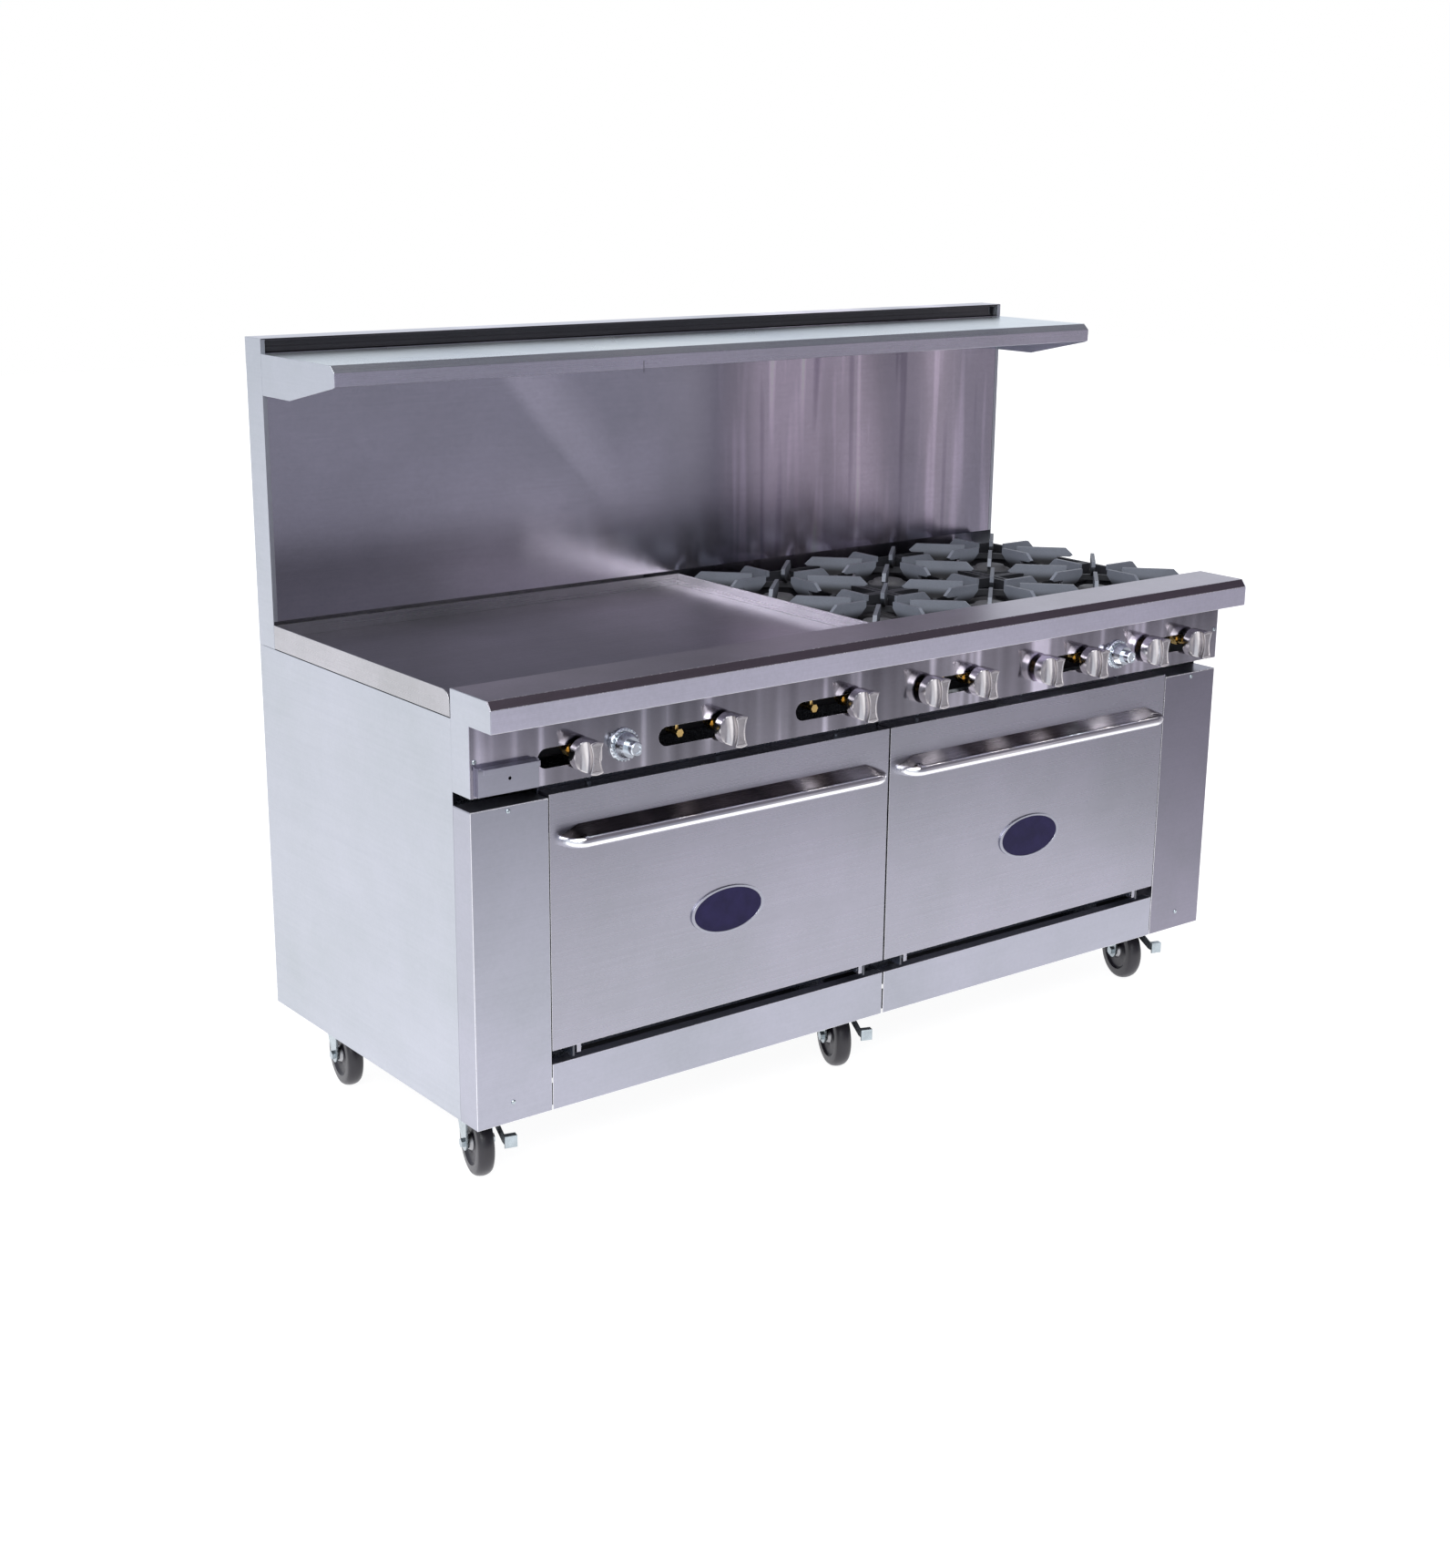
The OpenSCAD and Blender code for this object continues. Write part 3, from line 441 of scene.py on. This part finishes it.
def soften(node, width, segments=2, *, key, paint=None):
    """A copy of a CAD node with clean faces and rolled edges.

    paint(centre, normal) names the material of a face, or None for the piece's own.
    """
    bm = bmesh.new()
    bm.from_mesh(NODES[node].data)
    bmesh.ops.remove_doubles(bm, verts=bm.verts, dist=2e-6)
    bmesh.ops.dissolve_limit(bm, angle_limit=math.radians(0.5), verts=bm.verts, edges=bm.edges)
    if width:
        roll_edges(bm, width, segments, 30)
    mesh = make_mesh(bm, node + "_sheet")
    mesh.materials.clear()
    mesh.materials.append(MAT[key])
    smooth(mesh)
    if paint:
        paint_faces(mesh, paint)
    piece = link(mesh, "look_" + node, BODY[node], SLOT[node], node)
    if width:
        flatten_shading(piece)


def prism(bm, axis, low, high, points):
    """Adds a closed prism: an outline across the axis, x or z, between low and high, all in millimetres."""
    spots = {"x": lambda h, p: (h, p[0], p[1]), "z": lambda h, p: (p[0], p[1], h)}[axis]
    rings = [[bm.verts.new(place(*spots(h, p))) for p in points] for h in (low, high)]
    bm.faces.new(rings[0])
    bm.faces.new(rings[1][::-1])
    for i in range(len(points)):
        k = (i + 1) % len(points)
        bm.faces.new((rings[0][i], rings[1][i], rings[1][k], rings[0][k]))


def place(x, y, z):
    """A point given in the front plane's millimetres, in the frame's metres."""
    return Vector((x / 1000, y / 1000 + FRONT_Y, z / 1000))


def box_of(bm, x, y, z):
    prism(bm, "x", x[0], x[1], [(y[0], z[0]), (y[1], z[0]), (y[1], z[1]), (y[0], z[1])])


def finish_sheet(bm, name, node, key, width, segments=3, *, paint):
    """Rolls the edges of a piece built from given outlines, and lets it stand for a CAD node."""
    bmesh.ops.recalc_face_normals(bm, faces=bm.faces)
    roll_edges(bm, width, segments, 20)
    mesh = make_mesh(bm, name)
    mesh.materials.append(MAT[key])
    smooth(mesh)
    paint_faces(mesh, paint)
    flatten_shading(link(mesh, name, BODY[node], SLOT[node], node))


def paint_faces(mesh, paint):
    """Gives each face the material that paint names, or leaves it the mesh's first one."""
    keys = []
    for face in mesh.polygons:
        pick = paint(face.center, face.normal)
        if pick:
            if pick not in keys:
                keys.append(pick)
                mesh.materials.append(MAT[pick])
            face.material_index = keys.index(pick) + 1


def build_rail():
    """The belly rail: one folded sheet between two closed ends."""
    reach, back = 68, 56
    foot, nose, end_foot = 861, 900, 738
    outer = [(-reach, foot), (-reach, nose), (-57, WORK_TOP), (back, WORK_TOP)]
    inner = [(back, WORK_TOP - SHEET), (-56.2, WORK_TOP - SHEET), (SHEET - reach, nose - 0.5),
             (SHEET - reach, foot + SHEET), (-1, foot + SHEET)]
    bm = bmesh.new()
    prism(bm, "x", -FITTED, FITTED, [(-1, foot), *outer, *inner])
    for x in (-HALF, INSIDE):
        prism(bm, "x", x, x + SHEET, [(0, end_foot), (0, foot), *outer, (back, end_foot)])
    finish_sheet(bm, "belly_rail_folded", "belly_rail", "rail", 0.0007, paint=rail_paint)


def painted_highlight_edges(centre, normal):
    """Painted highlights: the narrow rolled faces between two flat sheets get a bright steel."""
    return "edge" if normal.y < -0.05 and max(abs(k) for k in normal) < 0.99 else None


def rail_paint(centre, normal):
    """Ends of the belly rail are satin. Its rolled edges get painted highlights, and its top and slope get
    painted shade in darker steels, apart from its face.
    """
    if abs(normal.x) > 0.5:
        return "side"
    if centre.y < FRONT_Y - 0.06 and normal.z < -0.05 and normal.y < -0.05:
        return "edge"
    if centre.z < 0.885 or centre.y > FRONT_Y + 0.03 and normal.z < 0.5:
        return None
    if normal.z > 0.98:
        return "rail_top"
    if normal.y < -0.7 and 0.55 < normal.z < 0.68:
        return "rail_slope"
    if normal.z > 0.08 and normal.y < 0.1:
        return "edge"
    return None


def end_painted_shade_and_highlights(centre, normal):
    """Painted shade: the right side front is the darker one, and rolled edges get painted highlights."""
    return painted_highlight_edges(centre, normal) or ("end" if centre.x > 0.7625 else None)


def grate_painted_shade(centre, normal):
    """Painted shade: feet, frame bars and ring get a near-black iron; the upright plates keep the lighter iron
    and catch the light on their broad faces.
    """
    return "iron_low" if centre.z < 0.8785 or normal.z > 0.9 and centre.z < 0.9 else None


def build_lower_fronts():
    """A folded front with a top flange at each side, and two kick plates between them."""
    side, side_return, outer_return = 763, 58, 55.4
    outline = [(side, side_return), (side, 0), (HALF, 0), (HALF, outer_return), (INSIDE, outer_return),
               (INSIDE, SHEET), (side + SHEET, SHEET), (side + SHEET, side_return)]
    kick_top, ledge, kick_half = 233, 24, 379.5
    kick = [(0, SKIRT), (0, kick_top), (ledge, kick_top), (ledge, kick_top - SHEET),
            (SHEET, kick_top - SHEET), (SHEET, SKIRT)]
    bm = bmesh.new()
    for s in (-1, 1):
        prism(bm, "z", SKIRT, 713.3, [(s * x, y) for x, y in outline])
        box_of(bm, sorted((s * side, s * HALF)), (0, outer_return), (713.5, 715))
    for c in (-381.5, 381.5):
        prism(bm, "x", c - kick_half, c + kick_half, kick)
    finish_sheet(bm, "lower_fronts_folded", "lower_front_panels", "front", 0.0006, paint=end_painted_shade_and_highlights)


def build_guard():
    """The back guard: ends, borders, front panel, strip, top and back, each a flat sheet."""
    front, back = GUARD_DEPTH
    foot, panel_foot, under_top = 863.5, 915, 1427.3
    border = 7.3
    whole, between = (-FITTED, FITTED), (-905.4, 905.4)
    bm = bmesh.new()
    for x in (-HALF, INSIDE):
        box_of(bm, (x, x + SHEET), GUARD_DEPTH, (foot, GUARD_TOP))
    for x in (-FITTED, 905.6):
        box_of(bm, (x, x + border), (front, 689.4), (panel_foot, under_top))
    box_of(bm, between, (688.1, 689.5), (panel_foot, 1403.5))
    # The strip's back, the top, the lip below it and two beads in the strip.
    box_of(bm, whole, (701.5, 703), (1394.5, under_top))
    box_of(bm, whole, GUARD_DEPTH, (GUARD_TOP - SHEET, GUARD_TOP))
    box_of(bm, between, (front, front + SHEET), (1424.5, under_top))
    box_of(bm, between, (699.5, 701.4), (1404, 1407))
    box_of(bm, between, (700.3, 701.4), (1413, 1414.5))
    box_of(bm, whole, (back - SHEET, back), (foot, under_top))
    finish_sheet(bm, "back_guard_folded", "back_guard", "guard", 0.0004, 2, paint=guard_paint)


def guard_paint(centre, normal):
    """The recessed strip is black; the ends and the back are satin."""
    if centre.z > 1.39 and centre.y < FRONT_Y + 0.706 and abs(centre.x) < 0.9:
        return "strip"
    if abs(centre.x) > 0.9055 or normal.y > 0.5:
        return "side"
    return None


def badge_paint(centre, normal):
    """The recessed field is navy; its raised rim is steel."""
    return "field" if normal.y < -0.99 and abs(centre.y - (FRONT_Y - 0.002)) < 0.0004 else None


def pull_paint(centre, normal):
    """The upper faces of the scoop, which get the painted reflections."""
    return "pull_top" if normal.z > 0.75 and centre.y > FRONT_Y - 0.035 else None


def build_wheel(i):
    """A caster wheel: bearing hub, dished core and a tyre with rounded shoulders, turned about its axle."""
    node = f"caster_wheel_{i}"
    low, high = box_corners(node)
    centre = (low + high) / 2
    axis = Vector(JOINT_AXIS[f"caster_{i}_roll"]).normalized()
    out = axis.cross(Vector((0, 0, 1))).normalized()
    # Radius and half-width in millimetres, from the bore to the middle of the tread.
    half = [(5.2, 19, "hub"), (11, 19, "hub"), (13, 17.6, "hub"), (16, 12, "core"), (20, 9.4, "core"),
            (36, 9.4, "core"), (40, 11.5, "core"), (43, 15.6, "rubber"), (55, 15.6, "rubber"),
            (58.5, 14.2, "rubber"), (61.4, 10.4, "rubber"), (62.9, 5.4, "rubber"), (63.4, 0.0, "rubber")]
    rows = [(r, -h, k) for r, h, k in half] + [(r, h, k) for r, h, k in half[-2::-1]]
    bm = bmesh.new()
    angles = [2 * math.pi * j / WHEEL_SIDES for j in range(WHEEL_SIDES)]
    spin = [out * math.cos(a) + Vector((0, 0, 1)) * math.sin(a) for a in angles]
    rings = [[bm.verts.new(centre + axis * (h / 1000) + w * (r / 1000)) for w in spin] for r, h, _ in rows]
    keys = ["hub", "core", "rubber"]
    for n, ring in enumerate(rings):
        after = (n + 1) % len(rings)
        kind = rows[n][2] if n < len(half) - 1 else rows[after][2]
        for j in range(WHEEL_SIDES):
            k = (j + 1) % WHEEL_SIDES
            face = bm.faces.new((ring[j], ring[k], rings[after][k], rings[after][j]))
            face.material_index = keys.index(kind)
    bmesh.ops.recalc_face_normals(bm, faces=bm.faces)
    mesh = make_mesh(bm, f"wheel_{i}")
    for key in keys:
        mesh.materials.append(MAT[key])
    smooth(mesh, 40)
    link(mesh, f"look_{node}", BODY[node], SLOT[node], node)


def box_corners(node):
    points = [NODES[node].matrix_world @ v.co for v in NODES[node].data.vertices]
    return [Vector([pick(p[k] for p in points) for k in range(3)]) for pick in (min, max)]


def grip_section(v, r, deep):
    """A knob's section at height v: collar, scooped waist, flared face with a sunk blank field.

    The rows are half-width, depth from the front plane, and the radius that bounds them, in millimetres.
    """
    s = (v / r) ** 2
    rows = [(r, 8.0, r - 1.4), (r, 9.4, r), (r, 23.6, r), (r - 1.6, 26.2, r)]
    scoop = 14.6  # the radius of the waist's hollow
    for a in range(-84, 44, 8):
        turn = math.radians(a)
        d = 42 + scoop * math.sin(turn)
        flare = (3.6 * s - 1.4 * (1 - s)) * max(0.0, d - 40) / 12
        rows.append((20.6 - scoop * math.cos(turn) + 2.4 * s + flare, d, r))
    w = rows[-1][0]
    rows += [(w + 0.25, deep - 0.7, r - 0.2), (w - 0.25, deep - 0.15, r - 0.8), (w - 1.0, deep, r - 1.6)]
    sunk = KNOB_SINK if abs(v) < r - 6.5 else 0.0
    rows += [(w - 2.3, deep, r - 3), (w - 2.9, deep - sunk, r - 3)]
    return [(min(half, math.sqrt(max(rr * rr - v * v, 0.04))), d) for half, d, rr in rows]


def build_knob(i):
    node = f"knob_{i}"
    low, high = box_corners(node)
    # The middle and the radius in millimetres: half of a sum in metres is 500 times it.
    x = (low.x + high.x) * 500
    z = (low.z + high.z) * 500
    r = (high.x - low.x) * 500
    deep = -(low.y - FRONT_Y) * 1000
    bm = bmesh.new()
    heights = [r * 0.999 * math.sin(math.pi * (j / KNOB_ROWS - 0.5)) for j in range(KNOB_ROWS + 1)]
    heights = sorted(heights + [-(r - 6.4), -(r - 6.6), r - 6.6, r - 6.4])
    rings = []
    for v in heights:
        half = grip_section(v, r, deep)
        outline = [(x + w, d) for w, d in half] + [(x - w, d) for w, d in half[::-1]]
        rings.append([bm.verts.new(place(u, -d, z + v)) for u, d in outline])
    for a, b in zip(rings, rings[1:]):
        for j in range(len(a)):
            k = (j + 1) % len(a)
            bm.faces.new((a[j], a[k], b[k], b[j]))
    bm.faces.new(rings[0])
    bm.faces.new(rings[-1][::-1])
    bmesh.ops.recalc_face_normals(bm, faces=bm.faces)
    mesh = make_mesh(bm, node + "_grip")
    mesh.materials.append(MAT["knob"])
    smooth(mesh, 38)
    field = FRONT_Y - (deep - KNOB_SINK) / 1000

    def face_paint(centre, normal):
        return "knob_face" if normal.y < -0.9 and abs(centre.y - field) < 2e-4 else None

    paint_faces(mesh, face_paint)
    link(mesh, "look_" + node, BODY[node], SLOT[node], node)


def build_seam():
    """The butt joint in the front of the high shelf."""
    bm = bmesh.new()
    box_of(bm, (-326.4, -325.8), (335.9, 337), (1368, 1390))
    mesh = make_mesh(bm, "shelf_butt_joint")
    mesh.materials.append(MAT["inner"])
    link(mesh, "shelf_butt_joint", BODY["high_shelf"], SLOT["high_shelf"])


def shelf_paint(centre, normal):
    """The ends are satin, and the front face gets a darker steel: painted shade."""
    if abs(normal.x) > 0.5:
        return "side"
    return "shelf_face" if normal.y < -0.9 else None


def build_pieces():
    soften("side_panels", 0.0006, key="side")
    soften("back_panel", 0.0005, key="side")
    build_lower_fronts()
    build_rail()
    build_guard()
    soften("manifold_panel", 0.0006, key="panel", paint=painted_highlight_edges)
    soften("high_shelf", 0.0010, 3, key="shelf", paint=shelf_paint)
    soften("griddle_plate", 0.0008, key="griddle")
    soften("griddle_splash", 0.0008, key="splash")
    soften("top_frame", 0.0005, key="inner")
    soften("base_frame", 0.0005, key="inner")
    soften("oven_shells", 0.0, key="enamel")
    soften("grease_drawer", 0.0005, key="front")
    for side in ("left", "right"):
        soften("door_skin_" + side, 0.0010, 3, key="door", paint=painted_highlight_edges)
        soften("door_liner_" + side, 0.0006, key="front")
        soften("door_handle_" + side, 0.0004, key="chrome", paint=pull_paint)
        soften("door_badge_" + side, 0.0004, key="front", paint=badge_paint)
        soften("thermostat_stem_" + side, 0.0006, key="dial")
    soften("thermostat_bezels", 0.0004, key="dial")
    soften("screws", 0.0, key="zinc")
    for i in range(1, 7):
        soften(f"grate_{i}", 0.0010, 2, key="iron", paint=grate_painted_shade)
        soften(f"caster_fork_{i}", 0.0006, key="zinc")
        build_wheel(i)
    for i in range(1, 4):
        soften(f"brake_pedal_{i}", 0.0006, key="zinc")
    for i in range(1, 10):
        build_knob(i)
    build_seam()
    soften("open_burners", 0.0, key="burner")
    soften("enclosed_burners", 0.0, key="burner")
    soften("gas_manifold", 0.0, key="pipe")
    soften("gas_valves", 0.0005, key="brass")
    soften("oven_racks", 0.0, key="wire")


def make_floor():
    """A pale floor that ends in front of the camera, in metres."""
    left, right, front, back = -9, 14, -3.0, 14
    corners = [(left, front, 0), (right, front, 0), (right, back, 0), (left, back, 0)]
    mesh = bpy.data.meshes.new("floor")
    mesh.from_pydata(corners, [], [(0, 1, 2, 3)])
    m, t = new_material("pale_floor")
    grain = t.ramp(t.noise(3, (1, 1, 1), 3, 0.5), [(0.3, (0.26, 0.26, 0.26)), (0.7, (0.30, 0.30, 0.30))])
    x, y, _ = t.where()
    # The floor gives off light. The camera sees it even and white; what the steel mirrors and is lit by
    # falls off to the front and right.
    fall = t.math("MULTIPLY", t.span(y, -2.35, -1.35), t.span(x, 2.5, 1.1))
    glow = t.ramp(fall, [(0.0, (0.28, 0.27, 0.30)), (1.0, (1.0, 1.0, 1.03))])
    seen = t.add("ShaderNodeLightPath").outputs["Is Camera Ray"]
    lamp = t.add("ShaderNodeEmission", Color=t.mix(seen, glow, (0.93, 0.93, 0.93)), Strength=1.0)
    matt = t.add("ShaderNodeBsdfDiffuse", Color=grain)
    both = t.add("ShaderNodeAddShader")
    t.put(both, **{"0": lamp.outputs[0], "1": matt.outputs[0]})
    t.add("ShaderNodeOutputMaterial", Surface=both.outputs[0])
    mesh.materials.append(m)
    floor = bpy.data.objects.new("floor", mesh)
    bpy.context.scene.collection.objects.link(floor)


make_camera()
make_world()
make_floor()
area_light("key", place=(-3.4, -3.4, 3.6), target=(0, 0, 0.7), size=(2.4, 2.4), power=120)
soft_sun(toward=(-0.35, -0.45, 1.0), strength=2.6, spread=60)
bpy.context.scene.view_settings.view_transform = "Standard"
build_pieces()
